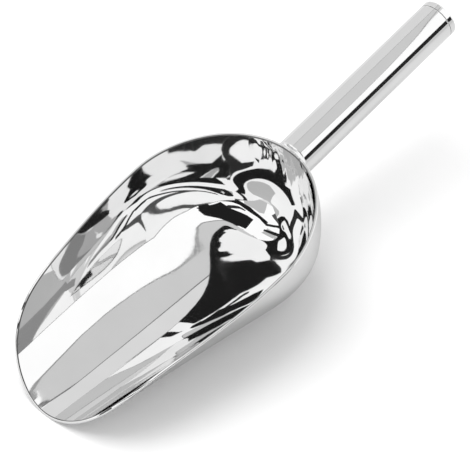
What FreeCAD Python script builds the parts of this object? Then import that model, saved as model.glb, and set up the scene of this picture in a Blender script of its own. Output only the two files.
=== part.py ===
# Steel candy scoop: a drawn bowl, a tube handle welded to its back, and a pressed cap in the handle's end.
# Millimetres, +Z up. The scoop lies on its belly, tip towards -X, handle rising towards +X.
# While it is modelled, X starts at the tip and Z at the table. The finished pieces are then moved
# along X, so that the origin lies on the table under the middle of the scoop.
import FreeCAD, Part
import math
import os

# Sheet that the bowl is drawn from
sheet_thickness = 1.5
rim_edge_radius = 0.5

# Flat polished along the belly, so that the scoop lies steady
belly_flat_depth = 0.2

# Bowl, inner surface, seen from above: a slight taper, then a round back
tip_half_width = 38.8
back_half_width = 44.7
straight_length = 102.6
dome_length = 56.0
taper_blend = 15.0

# Bowl, inner surface, across: a lower half ellipse of this depth, and taller sides above it
tip_section_depth = 62.5
back_section_depth = 28.0
side_height_to_width = 1.53

# Heel, where the floor turns up into the back
heel_length = 21.6
heel_power = 2.35
heel_blend = 12.0

# Rim line seen from the side, above the inner floor
lip_angle = 60.0
nose_length = 23.0
nose_height = 27.3
nose_middle_length = 7.7
nose_middle_height = 13.5
shoulder_length = 48.0
shoulder_height = 34.6
waist_to_back = 78.0
waist_height = 40.5
flank_to_back = 43.5
flank_height = 47.2
back_height = 52.8

# Handle tube
handle_diameter = 19.0
handle_wall = 0.9
handle_angle = 12.1
handle_length = 103.2
handle_below_rim = 0.4

# Weld bead round the handle: its height at the handle's root, how far it runs out along the handle,
# and the thickness left where the tube's end is beveled to take the filler metal
weld_height = 1.8
weld_reach = 3.0
weld_land = 0.4

# Cap pressed into the handle's open end
cap_head_length = 3.6
cap_edge_bevel = 0.6
cap_spigot_length = 7.0
cap_wall = 1.2
cap_clearance = 0.05
seam_bevel = 0.2

# Stations that the bowl's surfaces are drawn through, the last one just short of the back's pole
straight_stations = 6
dome_stations = 12
last_dome_angle = 89.0

# How far a body that only cuts reaches past what it cuts
cut_margin = 4.0

x_axis = FreeCAD.Vector(1, 0, 0)
y_axis = FreeCAD.Vector(0, 1, 0)
z_axis = FreeCAD.Vector(0, 0, 1)
full_turn = 360

# A closed section is four quarters of an ellipse, each a rational curve through one corner
section_degree = 2
quarter_weight = math.sqrt(0.5)
section_weights = [1, quarter_weight, 1, quarter_weight, 1, quarter_weight, 1, quarter_weight, 1]
section_knots = [0, 1, 2, 3, 4]
section_mults = [3, 2, 2, 2, 3]

floor_height = sheet_thickness - belly_flat_depth
inner_back_x = straight_length + dome_length
heel_start_x = inner_back_x - heel_length
side_reach = back_half_width + sheet_thickness + cut_margin
handle_radius = handle_diameter / 2
handle_bore_radius = handle_radius - handle_wall
weld_foot_radius = handle_bore_radius + weld_land
handle_tilt = math.radians(handle_angle)
handle_axis = FreeCAD.Vector(math.cos(handle_tilt), 0, math.sin(handle_tilt))
handle_root_height = back_height - handle_below_rim - handle_radius / math.cos(handle_tilt)
handle_root = FreeCAD.Vector(inner_back_x, 0, floor_height + handle_root_height)
handle_placement = FreeCAD.Placement(handle_root, FreeCAD.Rotation(z_axis, handle_axis))


def rounded_quarter(fraction, power):
    """Falls from 1 to 0 like a quarter circle, squarer where the power is above 2."""
    return (1 - fraction ** power) ** (1 / power)


def eased(x, limit, blend):
    """x up to the limit and the limit after it, with the corner rounded over blend on each side."""
    past = x - (limit - blend)
    if past <= 0:
        return x
    if past >= 2 * blend:
        return limit
    return x - past ** 2 / (4 * blend)


def half_width(x, wall):
    """Half the bowl's width at x; wall is 0 for the inner surface, the sheet for the outer one."""
    taper = (back_half_width - tip_half_width) / straight_length
    full = tip_half_width + taper * eased(x, straight_length, taper_blend) + wall
    return full * rounded_quarter(max(0, x - straight_length) / (dome_length + wall), 2)


def widest_height(x):
    """Height of the section's widest place above the inner floor."""
    fall = (tip_section_depth - back_section_depth) / heel_start_x
    return tip_section_depth - fall * eased(x, heel_start_x, heel_blend)


def section_depth(x, wall):
    """Depth of the section below its widest place."""
    full = widest_height(x) + wall
    return full * rounded_quarter(max(0, x - heel_start_x) / (heel_length + wall), heel_power)


def section_poles(x, wall):
    """Poles of the closed section at x, from its top round both sides to its top again."""
    width = half_width(x, wall)
    depth = section_depth(x, wall)
    side = width * side_height_to_width
    corners = [
        (0, side), (-width, side), (-width, 0),
        (-width, -depth), (0, -depth), (width, -depth),
        (width, 0), (width, side), (0, side),
    ]
    height = floor_height + widest_height(x)
    return [FreeCAD.Vector(x, y, height + z) for y, z in corners]


def bowl_stations(wall):
    """Pairs of angle and x: on the round back the angle about its centre, before it an even run."""
    reach = dome_length + wall
    stations = []
    for index in range(straight_stations):
        before = (straight_length + cut_margin) * (1 - index / straight_stations)
        stations.append((-before / reach, straight_length - before))
    for index in range(dome_stations + 1):
        angle = math.radians(last_dome_angle) * index / dome_stations
        stations.append((angle, straight_length + reach * math.sin(angle)))
    return stations


def bowl_body(wall):
    """The full drawn body before the rim is cut: one smooth surface, closed by two flat ends."""
    stations = bowl_stations(wall)
    angles = [angle for angle, x in stations]
    rails = []
    for points in zip(*[section_poles(x, wall) for angle, x in stations]):
        rail = Part.BSplineCurve()
        rail.interpolate(Points=list(points), Parameters=angles)
        rails.append(rail)
    poles = [rail.getPoles() for rail in rails]
    weights = [[weight] * len(poles[0]) for weight in section_weights]
    surface = Part.BSplineSurface()
    surface.buildFromPolesMultsKnots(
        poles, section_mults, rails[0].getMultiplicities(), section_knots, rails[0].getKnots(),
        False, False, section_degree, rails[0].Degree, weights,
    )
    side = Part.Face(surface)
    ends = [Part.Face(Part.Wire([edge])) for edge in side.Edges if edge.isClosed()]
    shell = Part.makeShell([side] + ends)
    shell.sewShape()
    return Part.Solid(shell)


def rim_keeper(first_y, last_y):
    """Block below the rim line, from first_y to last_y: what the rim cut leaves there."""
    drop = sheet_thickness + cut_margin
    run_out = heel_length
    side_view = [
        (-drop / math.tan(math.radians(lip_angle)), -drop),
        (0, 0),
        (nose_middle_length, nose_middle_height),
        (nose_length, nose_height),
        (shoulder_length, shoulder_height),
        (inner_back_x - waist_to_back, waist_height),
        (inner_back_x - flank_to_back, flank_height),
        (inner_back_x, back_height),
        (inner_back_x + run_out, back_height),
    ]
    points = [FreeCAD.Vector(x, 0, floor_height + z) for x, z in side_view]
    rim_line = Part.BSplineCurve()
    rim_line.interpolate(points)
    low_back = FreeCAD.Vector(points[-1].x, 0, points[0].z)
    outline = Part.Wire([
        rim_line.toShape(),
        Part.makeLine(points[-1], low_back),
        Part.makeLine(low_back, points[0]),
    ])
    face = Part.Face(outline)
    face.translate(y_axis * first_y)
    return face.extrude(y_axis * (last_y - first_y))


def belly_cutter():
    """Block below the table: what it takes off the belly leaves the flat."""
    length = inner_back_x + 2 * cut_margin
    corner = FreeCAD.Vector(-cut_margin, -side_reach, -cut_margin)
    return Part.makeBox(length, 2 * side_reach, cut_margin, corner)


def on_handle(outline):
    """Turns a profile, drawn as (radius, distance along the handle), about the handle's axis."""
    face = Part.Face(Part.Wire(outline))
    turned = face.revolve(FreeCAD.Vector(0, 0, 0), z_axis, full_turn)
    turned.Placement = handle_placement
    return turned


def closed_lines(corners):
    """Straight edges through the corners of a profile and back to its start."""
    points = [FreeCAD.Vector(radius, 0, along) for radius, along in corners]
    return [Part.makeLine(a, b) for a, b in zip(points, points[1:] + points[:1])]


def make_scoop_bowl(outer_body):
    """Drawn shell cut along the rim line, both corners of the cut edge rounded, the belly flattened.

    It is made as a left and a right half, so that every rim edge has an end at the tip and at the back.
    """
    wall = outer_body.cut(bowl_body(0))
    left = wall.common(rim_keeper(0, side_reach))
    right = wall.common(rim_keeper(-side_reach, 0))
    shell = left.fuse(right)
    cut_faces = [face for face in shell.Faces if isinstance(face.Surface, Part.SurfaceOfExtrusion)]
    cut_edges = [edge for face in cut_faces for edge in face.Edges if edge.BoundBox.YLength > sheet_thickness]
    return shell.makeFillet(rim_edge_radius, cut_edges).cut(belly_cutter())


def make_handle_tube(outer_body):
    """Tube with its front end beveled for the weld and cut to the curve of the bowl's back."""
    profile = closed_lines([
        (handle_bore_radius, -dome_length),
        (weld_foot_radius, -dome_length),
        (weld_foot_radius, -weld_reach),
        (handle_radius, weld_reach),
        (handle_radius, handle_length - seam_bevel),
        (handle_radius - seam_bevel, handle_length),
        (handle_bore_radius, handle_length),
    ])
    return on_handle(profile).cut(outer_body)


def make_neck_weld(outer_body):
    """Bead in the corner between the handle and the bowl, ground flush at the rim."""
    profile = closed_lines([
        (weld_foot_radius, -dome_length),
        (handle_radius + 2 * weld_height, -dome_length),
        (handle_radius + 2 * weld_height, -weld_reach),
        (handle_radius, weld_reach),
        (weld_foot_radius, -weld_reach),
    ])
    return on_handle(profile).cut(outer_body).common(rim_keeper(-side_reach, side_reach))


def make_end_cap():
    """Hollow cap: a head as wide as the tube with a beveled end, and a spigot inside the tube."""
    spigot_radius = handle_bore_radius - cap_clearance
    hollow_radius = spigot_radius - cap_wall
    seam = handle_length
    end = handle_length + cap_head_length
    profile = closed_lines([
        (0, end),
        (0, end - cap_wall),
        (hollow_radius, end - cap_wall),
        (hollow_radius, seam - cap_spigot_length),
        (spigot_radius, seam - cap_spigot_length),
        (spigot_radius, seam),
        (handle_radius - seam_bevel, seam),
        (handle_radius, seam + seam_bevel),
        (handle_radius, end - cap_edge_bevel),
        (handle_radius - cap_edge_bevel, end),
    ])
    return on_handle(profile)


def as_one_solid(shape):
    """The shape's solid by itself, out of the compound that a cut leaves."""
    return max(shape.Solids, key=lambda solid: solid.Volume)


def build():
    outer_body = bowl_body(sheet_thickness)
    pieces = {
        "scoop_bowl": make_scoop_bowl(outer_body),
        "handle_tube": make_handle_tube(outer_body),
        "neck_weld": make_neck_weld(outer_body),
        "end_cap": make_end_cap(),
    }
    pieces = {node: as_one_solid(shape) for node, shape in pieces.items()}
    front = pieces["scoop_bowl"].optimalBoundingBox(False, False).XMin
    back = pieces["end_cap"].optimalBoundingBox(False, False).XMax
    for shape in pieces.values():
        shape.translate(x_axis * (-(front + back) / 2))
    return pieces


os.makedirs("parts", exist_ok=True)
for node, shape in build().items():
    shape.exportStep(f"parts/{node}.step")
    print(node, "valid" if shape.isValid() else "NOT VALID", round(shape.Volume), "mm3")
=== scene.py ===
import math
import bpy
import numpy as np
from mathutils import Matrix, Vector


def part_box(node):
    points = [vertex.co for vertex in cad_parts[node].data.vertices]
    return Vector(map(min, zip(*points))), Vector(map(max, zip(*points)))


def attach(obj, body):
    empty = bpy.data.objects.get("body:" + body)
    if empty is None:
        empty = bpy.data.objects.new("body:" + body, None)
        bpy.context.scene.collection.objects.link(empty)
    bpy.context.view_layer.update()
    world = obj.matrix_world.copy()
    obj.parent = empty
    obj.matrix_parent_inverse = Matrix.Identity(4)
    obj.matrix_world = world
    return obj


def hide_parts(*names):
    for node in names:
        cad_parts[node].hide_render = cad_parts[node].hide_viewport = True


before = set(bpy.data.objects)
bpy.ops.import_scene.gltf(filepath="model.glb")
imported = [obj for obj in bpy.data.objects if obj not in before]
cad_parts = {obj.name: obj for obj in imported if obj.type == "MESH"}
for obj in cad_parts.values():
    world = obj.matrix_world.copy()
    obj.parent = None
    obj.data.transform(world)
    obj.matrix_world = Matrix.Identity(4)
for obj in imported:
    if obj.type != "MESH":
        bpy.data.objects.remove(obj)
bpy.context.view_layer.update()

# Polished steel candy scoop: drawn bowl, tube handle, weld bead and end cap.
# Shapes are worked out in millimetres from the bowl's inner tip edge, then moved into the frame.

bowl = {
    "sheet": 1.5,
    "bellyFlatDepth": 0.2,  # polished flat under the belly, so that the scoop lies steady
    "edgeRadius": 0.5,
    "tipHalfWidth": 38.8,
    "backHalfWidth": 44.7,
    "straightLength": 102.6,
    "domeLength": 56.0,
    "taperBlend": 15.0,
    "tipSectionDepth": 62.5,
    "backSectionDepth": 28.0,
    "sideHeightToWidth": 1.53,
    "heelLength": 21.6,
    "heelPower": 2.35,  # 2 is a round heel, more is a tighter one
    "heelBlend": 12.0,
    "lipAngle": 60.0,
    "lipDrop": 5.5,  # how far the rim line is carried on below the tip
    "columns": 420,
    "innerRows": 112,
    "outerRows": 100,
    "edgeRows": 6,
    "evenShare": 0.985,  # the wall's rows are even this far up, and close together beside the rim
    "closeShares": (0.9915, 0.9965, 0.999),
}
# Rim line seen from the side: distance from the tip and height above the inner floor
rimLine = [
    (0, 0), (7.7, 13.5), (23.0, 27.3), (48.0, 34.6),
    (80.6, 40.5), (115.1, 47.2), (158.6, 52.8), (180.2, 52.8),
]
# Point inside the bowl that its surfaces are seen from: distance from the tip and height
bowlHeart = (100.0, 30.0)

# How closely curves and crossings are worked out
halvings = 44
farOutside = 220.0
rimLinePoints = 6000
rimLoopPoints = 8001
normalStep = 1e-4
slopeStep = 0.01

mm = 0.001
innerBack = bowl["straightLength"] + bowl["domeLength"]
floorHeight = bowl["sheet"] - bowl["bellyFlatDepth"]
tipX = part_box("scoop_bowl")[1].x / mm - (innerBack + bowl["sheet"])


# Millimetres from the tip to metres in the frame
def toFrame(points):
    return (points + np.array([tipX, 0, floorHeight])) * mm


def unit(vectors):
    return vectors / np.linalg.norm(vectors, axis=-1, keepdims=True)


# Falls from 1 to 0 like a quarter circle, squarer where the power is above 2
def roundedQuarter(fraction, power):
    return np.maximum(1 - np.clip(fraction, 0, 1) ** power, 0) ** (1 / power)


# x up to the limit and the limit after it, with a parabola over the blend on each side
def eased(x, limit, blend):
    past = np.clip(x - (limit - blend), 0, 2 * blend)
    return np.minimum(x, limit + blend) - past ** 2 / (4 * blend)


# Straight taper from the tip to the back, then a quarter ellipse round the back
def halfWidth(x, wall):
    taper = (bowl["backHalfWidth"] - bowl["tipHalfWidth"]) / bowl["straightLength"]
    full = bowl["tipHalfWidth"] + taper * eased(x, bowl["straightLength"], bowl["taperBlend"]) + wall
    return full * roundedQuarter((x - bowl["straightLength"]) / (bowl["domeLength"] + wall), 2)


# Height of the widest place of a section: it falls evenly from the tip to the heel
def widestHeight(x):
    heelStart = innerBack - bowl["heelLength"]
    fall = (bowl["tipSectionDepth"] - bowl["backSectionDepth"]) / heelStart
    return bowl["tipSectionDepth"] - fall * eased(x, heelStart, bowl["heelBlend"])


# Depth of the lower half ellipse, which closes along a rounded quarter at the heel
def sectionDepth(x, wall):
    past = (x - (innerBack - bowl["heelLength"])) / (bowl["heelLength"] + wall)
    return (widestHeight(x) + wall) * roundedQuarter(past, bowl["heelPower"])


# A section is a half ellipse below its widest place and a taller one above it.
# This is its distance from the middle in half axes: below 1 inside the wall and above 1 outside.
def beyondWall(points, wall):
    x, y, z = points[..., 0], points[..., 1], points[..., 2]
    width = np.maximum(halfWidth(x, wall), 1e-6)
    depth = np.maximum(sectionDepth(x, wall), 1e-6)
    rise = z - widestHeight(x)
    tall = np.where(rise < 0, depth, width * bowl["sideHeightToWidth"])
    return np.hypot(y / width, rise / tall)


# Where each ray from start leaves the wall, by halving the stretch between inside and outside
def reachWall(start, direction, wall, far):
    near = np.zeros(direction.shape[:-1])
    far = np.full(direction.shape[:-1], float(far))
    for step in range(halvings):
        middle = (near + far) / 2
        outside = beyondWall(start + middle[..., None] * direction, wall) > 1
        far = np.where(outside, middle, far)
        near = np.where(outside, near, middle)
    return start + ((near + far) / 2)[..., None] * direction


# Outward unit normal, from the slope of beyondWall along X, Y and Z
def wallNormal(points, wall):
    slopes = []
    for axis in np.eye(3) * normalStep:
        slopes.append(beyondWall(points + axis, wall) - beyondWall(points - axis, wall))
    return unit(np.stack(slopes, -1))


# Second derivatives of the natural cubic spline through the values
def splineThrough(knots, values):
    count = len(knots)
    gaps = np.diff(knots)
    matrix = np.eye(count)
    right = np.zeros(count)
    for i in range(1, count - 1):
        matrix[i, i - 1:i + 2] = gaps[i - 1] / 6, (gaps[i - 1] + gaps[i]) / 3, gaps[i] / 6
        right[i] = (values[i + 1] - values[i]) / gaps[i] - (values[i] - values[i - 1]) / gaps[i - 1]
    return np.linalg.solve(matrix, right)


# The spline's value at each place
def splineAt(knots, values, bends, at):
    i = np.clip(np.searchsorted(knots, at) - 1, 0, len(knots) - 2)
    gap = knots[i + 1] - knots[i]
    a, b = (knots[i + 1] - at) / gap, (at - knots[i]) / gap
    bent = ((a ** 3 - a) * bends[i] + (b ** 3 - b) * bends[i + 1]) * gap ** 2 / 6
    return a * values[i] + b * values[i + 1] + bent


# Dense points of the rim line: a smooth curve through its places, run by the chords between them
def drawRimLine():
    drop = bowl["lipDrop"]
    places = np.array([(-drop / math.tan(math.radians(bowl["lipAngle"])), -drop)] + rimLine, float)
    knots = np.concatenate([[0], np.cumsum(np.linalg.norm(np.diff(places, axis=0), axis=1))])
    at = np.linspace(0, knots[-1], rimLinePoints)
    return [splineAt(knots, v, splineThrough(knots, v), at) for v in (places[:, 0], places[:, 1])]


rimX, rimZ = drawRimLine()


# Height of the rim line above the inner floor at a distance from the tip
def rimHeight(x):
    return np.interp(x, rimX, rimZ)


# Where the rim line meets the wall, looking from the heart at each plan angle
def rimAt(angle, wall):
    heart = np.array([bowlHeart[0], 0.0])
    direction = np.stack([np.cos(angle), np.sin(angle)], -1)
    near, far = np.zeros(len(angle)), np.full(len(angle), farOutside)
    for step in range(halvings):
        middle = (near + far) / 2
        plan = heart + middle[:, None] * direction
        points = np.concatenate([plan, rimHeight(plan[:, :1])], 1)
        outside = beyondWall(points, wall) > 1
        far = np.where(outside, middle, far)
        near = np.where(outside, near, middle)
    return points


# Unit direction along a closed loop of points, from each one's two neighbours
def loopSlope(points):
    return unit(np.roll(points, -1, 0) - np.roll(points, 1, 0))


# Plan angles that share the rim's length evenly
def evenAngles(count):
    dense = np.linspace(0, 2 * math.pi, rimLoopPoints)
    loop = rimAt(dense, 0)
    run = np.concatenate([[0], np.cumsum(np.linalg.norm(np.diff(loop, axis=0), axis=1))])
    return np.interp(np.arange(count) / count * run[-1], run, dense)


# Arc that touches both faces of a corner, from the wall to the cut face
def roundedEdge(corner, down, across, radius, rows):
    cosine = (down * across).sum(-1, keepdims=True)
    half = np.arccos(np.clip(cosine, -1, 1)) / 2
    reach = radius / np.tan(half)
    centre = corner + unit(down + across) * radius / np.sin(half)
    first = (corner + down * reach - centre) / radius
    last = (corner + across * reach - centre) / radius
    turn = math.pi - 2 * half
    arc = []
    for share in np.linspace(0, 1, rows):
        mixed = (np.sin((1 - share) * turn) * first + np.sin(share * turn) * last) / np.sin(turn)
        arc.append(centre + mixed * radius)
    return np.array(arc)


# Rows of the wall from the floor under the heart out to the edge, as seen from the heart
def wallRows(edge, wall, rows):
    heart = np.array([bowlHeart[0], 0.0, bowlHeart[1]])
    out = edge - heart
    close = bowl["closeShares"]
    share = np.concatenate([np.linspace(0, bowl["evenShare"], rows - len(close))[1:], close])
    swing = (share * math.pi / 2)[:, None, None]
    aim = np.empty((len(share),) + edge.shape)
    aim[..., :2] = out[:, :2] * np.sin(swing)
    aim[..., 2:] = -heart[2] + (1 - np.cos(swing)) * (out[:, 2:] + heart[2])
    return reachWall(heart, unit(aim), wall, farOutside)


# Quads between neighbouring rows, closed round the columns; closed joins the last row to the first
def gridFaces(rows, columns, closed):
    row = np.arange(rows if closed else rows - 1)[:, None]
    column = np.arange(columns)[None, :]
    after, nextRow = (column + 1) % columns, (row + 1) % rows
    return np.stack([
        row * columns + column, row * columns + after,
        nextRow * columns + after, nextRow * columns + column,
    ], -1).reshape(-1, 4)


# Puts whole arrays of corners and faces into a new smooth mesh
def makeMesh(name, vertices, quads, triangles=None):
    mesh = bpy.data.meshes.new(name)
    triangles = np.zeros((0, 3), int) if triangles is None else triangles
    corners = np.concatenate([quads.reshape(-1), triangles.reshape(-1)]).astype(np.int32)
    sizes = np.concatenate([np.full(len(quads), 4), np.full(len(triangles), 3)])
    starts = np.concatenate([[0], np.cumsum(sizes)[:-1]]).astype(np.int32)
    mesh.vertices.add(len(vertices))
    mesh.vertices.foreach_set("co", vertices.astype(np.float32).reshape(-1))
    mesh.loops.add(len(corners))
    mesh.loops.foreach_set("vertex_index", corners)
    mesh.polygons.add(len(sizes))
    mesh.polygons.foreach_set("loop_start", starts)
    mesh.update(calc_edges=True)
    mesh.validate()
    mesh.polygons.foreach_set("use_smooth", np.ones(len(sizes), bool))
    mesh.update()
    piece = bpy.data.objects.new(name, mesh)
    bpy.context.scene.collection.objects.link(piece)
    return piece


# Rows of points closed round the columns, with a fan of triangles to a pole at either end
def makeClosedRows(name, rows, firstPole, lastPole):
    count, columns = rows.shape[:2]
    vertices = np.concatenate([rows.reshape(-1, 3), [firstPole, lastPole]])
    column = np.arange(columns)
    after = (column + 1) % columns
    last = (count - 1) * columns
    fans = np.concatenate([
        np.stack([np.full(columns, count * columns), after, column], -1),
        np.stack([np.full(columns, count * columns + 1), last + column, last + after], -1),
    ])
    return makeMesh(name, vertices, gridFaces(count, columns, False), fans)


# Marks the rows of a piece that get painted shade: a darker colour along a rounded edge or seam, standing
# in for the dark line that it mirrors
def markPaintedShadeRows(piece, columns, first, last):
    dull = np.zeros(len(piece.data.vertices))
    dull[first * columns:last * columns] = 1
    piece.data.attributes.new("paintedEdgeShade", "FLOAT", "POINT").data.foreach_set("value", dull)


# Hides the node that a piece stands in for, and attaches the piece to the root body
def finishPiece(piece, node):
    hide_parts(node)
    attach(piece, "root")
    return piece


# One closed skin: inner wall, rounded edge, cut rim, rounded edge, outer wall
def makeBowl():
    angles = evenAngles(bowl["columns"])[::-1]
    inner, outer = rimAt(angles, 0), rimAt(angles, bowl["sheet"])
    past, before = rimHeight(inner[:, 0] + slopeStep), rimHeight(inner[:, 0] - slopeStep)
    slope = (past - before) / (2 * slopeStep)
    cutUp = unit(np.stack([-slope, np.zeros_like(slope), np.ones_like(slope)], -1))
    edges = []
    for corner, wall, side in ((inner, 0, 1), (outer, bowl["sheet"], -1)):
        along = loopSlope(corner)
        normal = wallNormal(corner, wall)
        down = np.cross(normal, along)
        down *= -np.sign((down * cutUp).sum(-1, keepdims=True))
        across = np.cross(cutUp, along)
        across *= side * np.sign((across * normal).sum(-1, keepdims=True))
        edges.append(roundedEdge(corner, unit(down), unit(across), bowl["edgeRadius"], bowl["edgeRows"]))
    innerWall = wallRows(edges[0][0], 0, bowl["innerRows"])
    outerWall = wallRows(edges[1][0], bowl["sheet"], bowl["outerRows"])
    rows = np.concatenate([innerWall, edges[0], edges[1][::-1], outerWall[::-1]])
    poles = np.array([[bowlHeart[0], 0, 0], [bowlHeart[0], 0, -bowl["sheet"]]], float)
    rows[..., 2] = np.maximum(rows[..., 2], -floorHeight)
    poles[:, 2] = np.maximum(poles[:, 2], -floorHeight)
    piece = makeClosedRows("Bowl", toFrame(rows), *toFrame(poles))
    # The rows round the rim's inner corner get painted shade
    firstShadedRow = len(innerWall) - 1
    markPaintedShadeRows(piece, bowl["columns"], firstShadedRow, firstShadedRow + bowl["edgeRows"])
    return finishPiece(piece, "scoop_bowl")


handle = {
    "radius": 9.5,
    "wall": 0.9,
    "angle": 12.1,
    "length": 103.2,
    "belowRim": 0.4,
    "seat": 0.2,  # how far the tube's end reaches into the bowl's wall
    "seamBevel": 0.2,
    "columns": 160,
    "rows": 40,
    "evenShare": 0.985,  # rows are even this far along, and the next stands close to the end
    "closeShare": 0.998,
}
weld = {
    "height": 1.2,
    "reach": 2.2,
    "hollow": 0.15,  # how near the curve's middle point comes to the corner, as a share
    "sunk": 0.15,  # into the tube's wall
    "seat": 0.2,  # into the bowl's wall
    "rimGap": 0.15,
    "thinnest": 0.05,
    "topCosine": 0.2,  # further round than this the rim sets the bead no limit
    "rows": 14,
    "underRows": 6,
}
cap = {
    "head": 3.6,
    "edgeRadius": 0.9,
    "spigot": 7.0,
    "wall": 1.2,
    "clearance": 0.05,
    "edgeRows": 9,
    "closeRow": 0.1,  # distance of the row beside each rounded edge
    "poleRing": 1.0,
}
# Seam bevel of the tube and the cap, as shares of its size: in from the side, along from the end
seamCorner = ((1, 0), (0.5, 0.15), (0.15, 0.5))

# A line along the handle is searched from this far inside the bowl, over this length
searchStart = -30.0
searchLength = 60.0

tilt = math.radians(handle["angle"])
backHeight = rimLine[-1][1]
handleRoot = np.array([innerBack, 0, backHeight - handle["belowRim"] - handle["radius"] / math.cos(tilt)])
handleAlong = np.array([math.cos(tilt), 0, math.sin(tilt)])
handleUp = np.array([-math.sin(tilt), 0, math.cos(tilt)])
handleSide = np.array([0.0, 1.0, 0.0])


# Point at a radius, a distance along the handle and an angle round it
def roundHandle(radius, along, angle):
    radius, along, angle = np.broadcast_arrays(radius, along, angle)
    outward = np.cos(angle)[..., None] * handleUp + np.sin(angle)[..., None] * handleSide
    return handleRoot + along[..., None] * handleAlong + radius[..., None] * outward


# Distance along the handle at which a line at that radius comes out of the bowl's back
def meetBowl(radius, angle):
    radius, angle = np.broadcast_arrays(radius, angle)
    start = roundHandle(radius, searchStart, angle)
    hit = reachWall(start, np.broadcast_to(handleAlong, start.shape), bowl["sheet"], searchLength)
    return (hit - handleRoot) @ handleAlong


# Closed skin from a closed profile of radii and runs carried round the handle
def turnProfile(name, radii, runs, angle):
    points = roundHandle(radii, runs, angle)
    count, columns = points.shape[:2]
    return makeMesh(name, toFrame(points.reshape(-1, 3)), gridFaces(count, columns, True))


# Tube: bore, end ring with its bevel, outside, and a front end that follows the bowl's back
def makeHandle():
    angle = np.linspace(0, -2 * math.pi, handle["columns"], endpoint=False)[None, :]
    outer, bore = handle["radius"], handle["radius"] - handle["wall"]
    bevel, end = handle["seamBevel"], handle["length"]
    columns, rows = handle["columns"], handle["rows"]
    front = meetBowl(np.array([[outer]]), angle) - handle["seat"]
    frontBore = meetBowl(np.array([[bore]]), angle) - handle["seat"]
    even = np.linspace(0, handle["evenShare"], rows - 2)
    stations = np.concatenate([even, [handle["closeShare"], 1]])[:, None]
    outsideRun = front + (end - bevel - front) * stations
    cornerIn, cornerAlong = np.array(seamCorner[::-1]).T
    cornerRadius, cornerRun = outer - bevel * cornerIn, end - bevel * cornerAlong[:, None]
    boreRun = end + (frontBore - end) * stations
    radii = np.concatenate([np.full(rows, outer), cornerRadius, np.full(rows, bore)])[:, None]
    runs = np.concatenate([outsideRun, np.repeat(cornerRun, columns, 1), boreRun])
    piece = turnProfile("Handle", radii, runs, angle)
    # The seam bevel at the tube's end gets painted shade
    markPaintedShadeRows(piece, columns, rows, rows + len(cornerRun))
    return finishPiece(piece, "handle_tube")


# Hollow bead: a quadratic curve from the tube out to the bowl's back, kept below the rim
def makeWeld():
    angle = np.linspace(0, 2 * math.pi, handle["columns"], endpoint=False)[None, :]
    inner, rise, top = handle["radius"], np.cos(angle), weld["topCosine"]
    rimRoom = (backHeight - weld["rimGap"] - handleRoot[2]) / math.cos(tilt)
    tallest = np.where(rise > top, rimRoom / np.maximum(rise, top), farOutside)
    outer = np.minimum(inner + weld["height"], np.maximum(tallest, inner + weld["thinnest"]))
    height = outer - inner
    reach = weld["reach"] * height / weld["height"]
    atTube, atWall = meetBowl(np.array([[inner]]), angle), meetBowl(outer, angle)
    share = np.linspace(0, 1, weld["rows"])[:, None]
    first, middle, last = (1 - share) ** 2, 2 * share * (1 - share), share ** 2
    radii = first * inner + middle * (inner + weld["hollow"] * height) + last * outer
    runs = first * (atTube + reach) + middle * (atTube + weld["hollow"] * reach) + last * atWall
    under = np.linspace(1, 0, weld["underRows"])[:, None]
    underRadii = inner - weld["sunk"] + (height + weld["sunk"]) * under
    underRuns = meetBowl(underRadii, angle) - weld["seat"]
    backRadii = underRadii[-1:]
    radii = np.concatenate([radii, underRadii, backRadii])
    runs = np.concatenate([runs, underRuns, atTube + reach])
    piece = turnProfile("WeldBead", radii, runs, angle)
    return finishPiece(piece, "neck_weld")


# Turned cap: beveled seam, head with a rounded end, and a hollow spigot inside the tube
def makeCap():
    angle = np.linspace(0, 2 * math.pi, handle["columns"], endpoint=False)[None, :]
    outer, bevel, seam = handle["radius"], handle["seamBevel"], handle["length"]
    end, edge = handle["length"] + cap["head"], cap["edgeRadius"]
    spigot = outer - handle["wall"] - cap["clearance"]
    hollow, spigotEnd, floor = spigot - cap["wall"], seam - cap["spigot"], end - cap["wall"]
    close, ring = cap["closeRow"], cap["poleRing"]
    inside = [(ring, floor), (hollow, floor), (hollow, spigotEnd), (spigot, spigotEnd), (spigot, seam)]
    seamRows = [(outer - bevel * a, seam + bevel * b) for a, b in seamCorner]
    side = [(outer, seam + bevel), (outer, seam + bevel + close), (outer, end - edge - close)]
    bend = np.linspace(0, math.pi / 2, cap["edgeRows"])
    rounded = [(outer - edge + edge * math.cos(a), end - edge + edge * math.sin(a)) for a in bend]
    face = [(outer - edge - close, end), (outer / 2, end), (ring, end)]
    radii, runs = np.array(inside + seamRows + side + rounded + face).T
    rows = roundHandle(radii[:, None], runs[:, None], -angle)
    poles = handleRoot + np.array([[floor], [end]]) * handleAlong
    piece = makeClosedRows("EndCap", toFrame(rows), *toFrame(poles))
    # The seam bevel of the cap gets painted shade
    markPaintedShadeRows(piece, handle["columns"], len(inside), len(inside) + len(seamRows))
    return finishPiece(piece, "end_cap")


# Steel: bright metal with polishing marks, a slow waviness and small changes of tone and gloss
steel = {
    "toneSpread": 0.02,
    "waveSize": 38.0,
    "markSize": 700.0,
    "noiseDetail": 3.0,
    "noiseRoughness": 0.55,
    "heatSize": 110.0,
    "heatDetail": 2.0,
    "heatStretch": (1, 1, 0.35),
    "heatCentre": (0.027, 0.0, 0.048),  # metres in the frame, at the weld
    "heatReach": 0.021,
    "heatCore": 0.35,  # share of the reach over which the ripples stay full
    "heatBump": 0.0009,
    # colour of the painted shade along the rim's inner corner and the seams
    "paintedShadeTone": 0.25,
}
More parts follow.
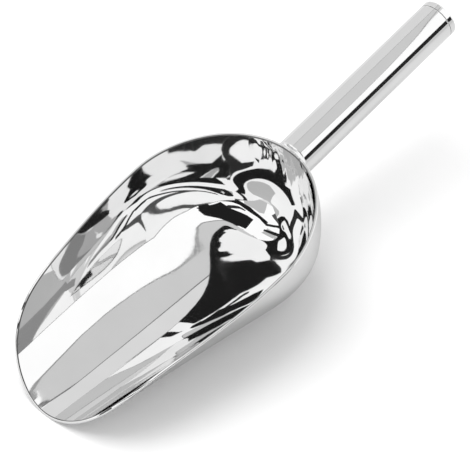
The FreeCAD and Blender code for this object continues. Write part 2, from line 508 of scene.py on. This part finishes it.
# Rough is the smoothest place and spread what the marks add; marks stretches them along X, Y and Z
finishes = {
    "PolishedBowlSteel": {
        "tone": 0.88, "rough": 0.02, "spread": 0.03, "marks": (1, 1, 1), "wave": 0.00003, "heat": True,
    },
    "PolishedTubeSteel": {
        "tone": 0.88, "rough": 0.03, "spread": 0.05, "marks": (0.03, 1, 1), "wave": 0.00001, "heat": False,
    },
    "BlendedWeldSteel": {
        "tone": 0.84, "rough": 0.06, "spread": 0.10, "marks": (1, 1, 1), "wave": 0.0002, "heat": False,
    },
}


# New node with the given values on its sockets; an underscore stands for a space
def addNode(tree, kind, **values):
    node = tree.nodes.new(kind)
    for name, value in values.items():
        node.inputs[name.replace("_", " ")].default_value = value
    return node


# Noise of one size on the object's own coordinates, stretched along the given axes
def addNoise(tree, size, detail, stretch):
    place = tree.nodes.new("ShaderNodeTexCoord")
    mapping = addNode(tree, "ShaderNodeMapping", Scale=stretch)
    noise = addNode(
        tree, "ShaderNodeTexNoise", Scale=size, Detail=detail, Roughness=steel["noiseRoughness"])
    tree.links.new(place.outputs["Object"], mapping.inputs["Vector"])
    tree.links.new(mapping.outputs["Vector"], noise.inputs["Vector"])
    return noise.outputs["Fac"]


# Straight line from low to high; most of a noise lies between 0.3 and 0.7
def addRange(tree, source, low, high, fromLow=0.3, fromHigh=0.7):
    node = addNode(
        tree, "ShaderNodeMapRange", From_Min=fromLow, From_Max=fromHigh, To_Min=low, To_Max=high)
    tree.links.new(source, node.inputs["Value"])
    return node.outputs["Result"]


def addGrey(tree, tone):
    colour = tree.nodes.new("ShaderNodeCombineColor")
    for channel in ("Red", "Green", "Blue"):
        tree.links.new(tone, colour.inputs[channel])
    return colour.outputs["Color"]


def addBump(tree, height, distance, normal=None):
    bump = addNode(tree, "ShaderNodeBump", Strength=1.0, Distance=distance)
    tree.links.new(height, bump.inputs["Height"])
    if normal is not None:
        tree.links.new(normal, bump.inputs["Normal"])
    return bump.outputs["Normal"]


# Ripples left by the welding heat: noise that fades out with the distance from the weld
def addHeat(tree, normal):
    place = tree.nodes.new("ShaderNodeTexCoord")
    away = tree.nodes.new("ShaderNodeVectorMath")
    away.operation = "DISTANCE"
    away.inputs[1].default_value = steel["heatCentre"]
    tree.links.new(place.outputs["Object"], away.inputs[0])
    reach = steel["heatReach"]
    near = addRange(tree, away.outputs["Value"], 1.0, 0.0, reach * steel["heatCore"], reach)
    ripples = tree.nodes.new("ShaderNodeMath")
    ripples.operation = "MULTIPLY"
    noise = addNoise(tree, steel["heatSize"], steel["heatDetail"], steel["heatStretch"])
    tree.links.new(noise, ripples.inputs[0])
    tree.links.new(near, ripples.inputs[1])
    return addBump(tree, ripples.outputs["Value"], steel["heatBump"], normal)


# Painted shade: the inner corner of the rim and the seams of the tube and the cap are made darker in
# colour, standing in for the dark line that their rounding mirrors
def addPaintedEdgeShade(tree, tone):
    corner = tree.nodes.new("ShaderNodeAttribute")
    corner.attribute_name = "paintedEdgeShade"
    darker = addNode(tree, "ShaderNodeMapRange", To_Max=steel["paintedShadeTone"])
    tree.links.new(corner.outputs["Fac"], darker.inputs["Value"])
    tree.links.new(tone, darker.inputs["To Min"])
    return darker.outputs["Result"]


# One of the finishes: the cloud gives tone and waviness, the marks give gloss
def makeSteel(name):
    finish = finishes[name]
    material = bpy.data.materials.new(name)
    material.use_nodes = True
    tree = material.node_tree
    shader = tree.nodes["Principled BSDF"]
    shader.inputs["Metallic"].default_value = 1.0
    cloud = addNoise(tree, steel["waveSize"], steel["noiseDetail"], (1, 1, 1))
    marks = addNoise(tree, steel["markSize"], steel["noiseDetail"], finish["marks"])
    spread = steel["toneSpread"]
    tone = addRange(tree, cloud, finish["tone"] - spread, finish["tone"] + spread)
    # Marked rows along the rim's inner corner and the seams get painted shade, a darker tone
    tree.links.new(addGrey(tree, addPaintedEdgeShade(tree, tone)), shader.inputs["Base Color"])
    rough = addRange(tree, marks, finish["rough"], finish["rough"] + finish["spread"])
    tree.links.new(rough, shader.inputs["Roughness"])
    normal = addBump(tree, cloud, finish["wave"])
    if finish["heat"]:
        normal = addHeat(tree, normal)
    tree.links.new(normal, shader.inputs["Normal"])
    return material


bowlPiece = makeBowl()
print("bowl made,", len(bowlPiece.data.polygons), "faces")
handlePiece = makeHandle()
weldPiece = makeWeld()
capPiece = makeCap()
print("handle, weld and cap made")

tubeSteel = makeSteel("PolishedTubeSteel")
bowlPiece.data.materials.append(makeSteel("PolishedBowlSteel"))
weldPiece.data.materials.append(makeSteel("BlendedWeldSteel"))
handlePiece.data.materials.append(tubeSteel)
capPiece.data.materials.append(tubeSteel)
print("materials made")

# Studio: pale floor, white surroundings, one soft lamp, and cards that only the steel mirrors
studio = {
    "floorSize": 8.0,
    "floorTone": 0.97,
    "floorRoughness": 0.9,
    "mirroredFloorTone": 0.68,
    "skyForSteel": 1.12,
    "skyForFloor": 0.74,
    "lampPower": 24.0,
    "lampSize": 1.5,
    "lampPlace": (-0.25, 0.75, 1.8),
    "cardDistance": 20.0,
    "cardSpacing": 0.1,
    "cardSteps": 40,
    "cardRows": 6,
}
# Each card is a strip between two edges, with a name, a tone and its corners along both edges.
# Far cards give these in degrees from straight overhead, along X and along Y, and each hangs
# a little in front of the one before it. Ceiling cards give them in metres, at a height.
# The corners come from a trace of where the photograph's edges and tones are mirrored: some of
# the ceiling cards' are its own figures, and the others were rounded or moved by trial.
farCards = [
    ("PanelLower", 0.77,
     [(19, 60), (23, 43), (24, 30), (26, 17)],
     [(42, 70), (45, 50), (45, 35), (42, 19)]),
    ("DarkSide", 0.015,
     [(14, -52), (12, -40), (8, -20), (2, -6), (-22, -11), (-34, -12)],
     [(-19, -58), (-22, -44), (-30, -33), (-34, -24), (-34, -13), (-34, -12)]),
    ("DarkSweep", 0.015,
     [(4, -63), (-18, -60), (-30, -56), (-38, -52), (-45, -43), (-45.5, -30),
      (-46, -21), (-46.5, -12), (-46, -6), (-43.5, 0), (-40, 8), (-39, 12)],
     [(4, -72), (-18, -70), (-35, -66), (-44, -60), (-54, -48), (-58, -30),
      (-56, -21), (-55, -12), (-54, -6), (-53, 0), (-51, 8), (-50, 12)]),
    ("GreyWall", 0.55,
     [(40, -12), (40, 0), (40, 15), (42, 33)],
     [(44, -12), (50, 0), (55, 15), (55, 33)]),
    ("GreySide", 0.52,
     [(8, 48), (0, 44), (-10, 38), (-24, 36)],
     [(12, 62), (0, 58), (-10, 58), (-24, 57)]),
    ("GreyBack", 0.54,
     [(-14, 13), (-15, 36)],
     [(-34, 17), (-33, 38)]),
    ("GreyFar", 0.58,
     [(-56, -40), (-60, -24), (-60, -12), (-64, -3)],
     [(-78, -55), (-88, -35), (-93, -18), (-95, -3)]),
    ("DarkCorner", 0.32,
     [(45, 16), (44, 27), (39, 32), (33, 44)],
     [(50, 16), (51, 27), (47, 38), (36, 58)]),
    ("GreyBand", 0.3,
     [(13, 50), (0, 50), (-11, 47), (-22, 47)],
     [(15, 60), (0, 60), (-11, 57), (-22, 57)]),
    ("DarkBand", 0.1,
     [(-49, 39), (-58, 34), (-66, 20), (-70, 14)],
     [(-53, 48), (-64, 43), (-76, 30), (-84, 26)]),
    ("DarkRim", 0.03,  # band below the far rim
     [(-38, 11), (-41, 18), (-44, 26), (-47, 34), (-47, 40), (-43, 46), (-38, 52)],
     [(-44, 9), (-47, 16), (-50, 25), (-53, 34), (-54, 43), (-49, 52), (-42, 59)]),
    ("DarkArc", 0.02,  # second band, lower on the far wall
     [(-27, 13), (-30, 19), (-32, 28), (-34, 36), (-34, 45), (-31, 53)],
     [(-22, 13), (-23, 19), (-24, 28), (-25, 36), (-25, 45), (-22, 55)]),
    ("DarkSwirl", 0.03,  # joins the two bands beside the weld
     [(-18, -50), (-26, -50), (-34, -47), (-40, -43), (-43, -37), (-43, -31)],
     [(-18, -44), (-25, -44), (-33, -40), (-37, -38), (-39, -34), (-40, -31)]),
    ("GreyTube", 0.75,  # pale band along the handle
     [(8, 3), (9, 20), (12, 40), (17, 55), (27, 72), (38, 86), (62, 99)],
     [(20, -6), (20, 20), (21, 38), (27, 56), (37, 68), (50, 78), (82, 84)]),
    ("DarkLine", 0.02,  # thin line along the handle
     [(18, -56), (25, -56), (34, -56)],
     [(24, -73), (33, -73), (44, -72)]),
    ("GreyRoom", 0.66,
     [(24, -73), (33, -73), (44, -72)],
     [(25, -90), (40, -84), (56, -77)]),
]
ceilingCards = [
    ("DarkCeiling", 0.015, 0.5,
     [(0.120, -0.720), (0.171, -0.527), (0.172, -0.374), (0.150, -0.300),
      (0.135, -0.226), (0.122, -0.150), (0.112, -0.125)],
     [(0.020, -0.720), (0.040, -0.527), (0.020, -0.374), (0.010, -0.300),
      (0.0, -0.226), (0.0, -0.150), (0.0, -0.090)]),
    ("PanelUpper", 0.66, 0.35,
     [(0.097, -0.150), (0.075, -0.105), (0.060, -0.020), (0.055, 0.050), (0.060, 0.100), (0.089, 0.150)],
     [(0.124, -0.164), (0.156, -0.174), (0.175, -0.152), (0.186, -0.090), (0.194, 0.0), (0.290, 0.150)]),
    ("PanelSeam", 0.2, 0.349,
     [(0.055, 0.050), (0.063, 0.102), (0.092, 0.143), (0.290, 0.143)],
     [(0.050, 0.054), (0.057, 0.108), (0.088, 0.151), (0.290, 0.150)]),
    ("PanelEdge", 0.35, 0.348,
     [(0.052, -0.020), (0.068, -0.110), (0.094, -0.158), (0.124, -0.172), (0.157, -0.180),
      (0.178, -0.155), (0.189, -0.090), (0.197, 0.0), (0.210, 0.050)],
     [(0.057, -0.020), (0.074, -0.104), (0.098, -0.147), (0.125, -0.161), (0.155, -0.170),
      (0.173, -0.150), (0.185, -0.090), (0.193, 0.0), (0.206, 0.050)]),
]


# Even steps along an edge, corner by corner
def alongEdge(edge):
    edge = np.array(edge, float)
    at = np.linspace(0, len(edge) - 1, studio["cardSteps"])
    return np.stack([np.interp(at, np.arange(len(edge)), edge[:, i]) for i in (0, 1)], -1)


# Strip that gives off an even grey, and that only mirror reflections show
def makeCard(name, tone, places):
    count, columns = places.shape[:2]
    row, column = np.arange(count - 1)[:, None], np.arange(columns - 1)[None, :]
    first = row * columns + column
    quads = np.stack([first, first + 1, first + columns + 1, first + columns], -1).reshape(-1, 4)
    card = makeMesh(name, places.reshape(-1, 3), quads)
    material = bpy.data.materials.new(name)
    material.use_nodes = True
    tree = material.node_tree
    tree.nodes.remove(tree.nodes["Principled BSDF"])
    glow = addNode(tree, "ShaderNodeEmission", Color=(tone, tone, tone, 1), Strength=1.0)
    tree.links.new(glow.outputs["Emission"], tree.nodes["Material Output"].inputs["Surface"])
    material.cycles.emission_sampling = "NONE"
    card.data.materials.append(material)
    for ray in ("camera", "diffuse", "shadow", "transmission", "volume_scatter"):
        setattr(card, "visible_" + ray, False)


# Far cards hang on a wide dome, where a place's distance from overhead is its angle from the vertical
def makeCards():
    share = np.linspace(0, 1, studio["cardRows"])[:, None, None]
    for order, (name, tone, near, far) in enumerate(farCards):
        plan = np.radians((1 - share) * alongEdge(near) + share * alongEdge(far))
        fall = np.linalg.norm(plan, axis=-1, keepdims=True)
        aim = np.concatenate([plan / np.maximum(fall, 1e-9) * np.sin(fall), np.cos(fall)], -1)
        makeCard(name, tone, aim * (studio["cardDistance"] - studio["cardSpacing"] * order))
    for name, tone, height, near, far in ceilingCards:
        plan = (1 - share) * alongEdge(near) + share * alongEdge(far)
        makeCard(name, tone, np.concatenate([plan, np.full_like(plan[..., :1], height)], -1))


# Matt floor: white to the camera, a little darker where the steel mirrors it
def makeFloor():
    half = studio["floorSize"] / 2
    corners = np.array([(-half, -half, 0), (half, -half, 0), (half, half, 0), (-half, half, 0)], float)
    floor = makeMesh("StudioFloor", corners, np.array([[0, 1, 2, 3]]))
    material = bpy.data.materials.new("PaleFloor")
    material.use_nodes = True
    tree = material.node_tree
    shader = tree.nodes["Principled BSDF"]
    shader.inputs["Roughness"].default_value = studio["floorRoughness"]
    shader.inputs["Specular IOR Level"].default_value = 0.0
    seen = tree.nodes.new("ShaderNodeLightPath").outputs["Is Camera Ray"]
    tone = addRange(tree, seen, studio["mirroredFloorTone"], studio["floorTone"], 0, 1)
    tree.links.new(addGrey(tree, tone), shader.inputs["Base Color"])
    floor.data.materials.append(material)


# Surroundings: white to the camera, and a level of their own for the steel and for the floor
def lightWorld():
    world = bpy.data.worlds.new("Studio")
    bpy.context.scene.world = world
    world.use_nodes = True
    tree = world.node_tree
    background = tree.nodes["Background"]
    background.inputs["Color"].default_value = (1, 1, 1, 1)
    rays = tree.nodes.new("ShaderNodeLightPath").outputs
    level = addRange(tree, rays["Is Glossy Ray"], studio["skyForFloor"], studio["skyForSteel"], 0, 1)
    seen = addNode(tree, "ShaderNodeMapRange", To_Max=1.0)
    tree.links.new(rays["Is Camera Ray"], seen.inputs["Value"])
    tree.links.new(level, seen.inputs["To Min"])
    tree.links.new(seen.outputs["Result"], background.inputs["Strength"])


# One broad lamp behind the scoop's far side, kept out of the steel's reflections
def hangLamp():
    data = bpy.data.lights.new("SoftLamp", "AREA")
    data.energy = studio["lampPower"]
    data.size = studio["lampSize"]
    lamp = bpy.data.objects.new("SoftLamp", data)
    away = unit(np.array(studio["lampPlace"]))
    side = unit(np.cross([0, 0, 1], away))
    up = np.cross(away, side)
    lamp.matrix_world = Matrix([
        [side[i], up[i], away[i], studio["lampPlace"][i]] for i in range(3)] + [[0, 0, 0, 1]])
    lamp.visible_glossy = False
    lamp.visible_camera = False
    bpy.context.scene.collection.objects.link(lamp)


makeFloor()
makeCards()
lightWorld()
hangLamp()
print("studio made")

# Camera, which sees the scoop as in the photograph; its place, roll and scale are a fit's figures
view = {
    "target": (123.218, 0.580, 20.0),
    "elevation": 46.716,
    "azimuth": -141.676,
    "roll": 4.977,
    "distance": 1288.736,
    "pixelsPerMm": 2.199,
    "pixels": 470,
    "sensor": 36.0,
}


# Looks at the target from its direction and distance, turned by the roll, with a lens for the frame
def makeCamera():
    el, az, roll = (math.radians(view[k]) for k in ("elevation", "azimuth", "roll"))
    back = np.array([math.cos(el) * math.cos(az), math.cos(el) * math.sin(az), math.sin(el)])
    right = np.array([-math.sin(az), math.cos(az), 0])
    up = np.cross(back, right)
    turned = math.cos(roll) * right + math.sin(roll) * up
    upright = -math.sin(roll) * right + math.cos(roll) * up
    place = toFrame(np.array(view["target"]) + back * view["distance"])
    data = bpy.data.cameras.new("Camera")
    data.sensor_width = view["sensor"]
    data.lens = view["pixelsPerMm"] * view["distance"] / view["pixels"] * view["sensor"]
    data.clip_end = 100
    camera = bpy.data.objects.new("Camera", data)
    camera.matrix_world = Matrix([
        [turned[i], upright[i], back[i], place[i]] for i in range(3)] + [[0, 0, 0, 1]])
    bpy.context.scene.collection.objects.link(camera)
    bpy.context.scene.camera = camera


makeCamera()
bpy.context.scene.view_settings.view_transform = "Standard"
print("camera made")
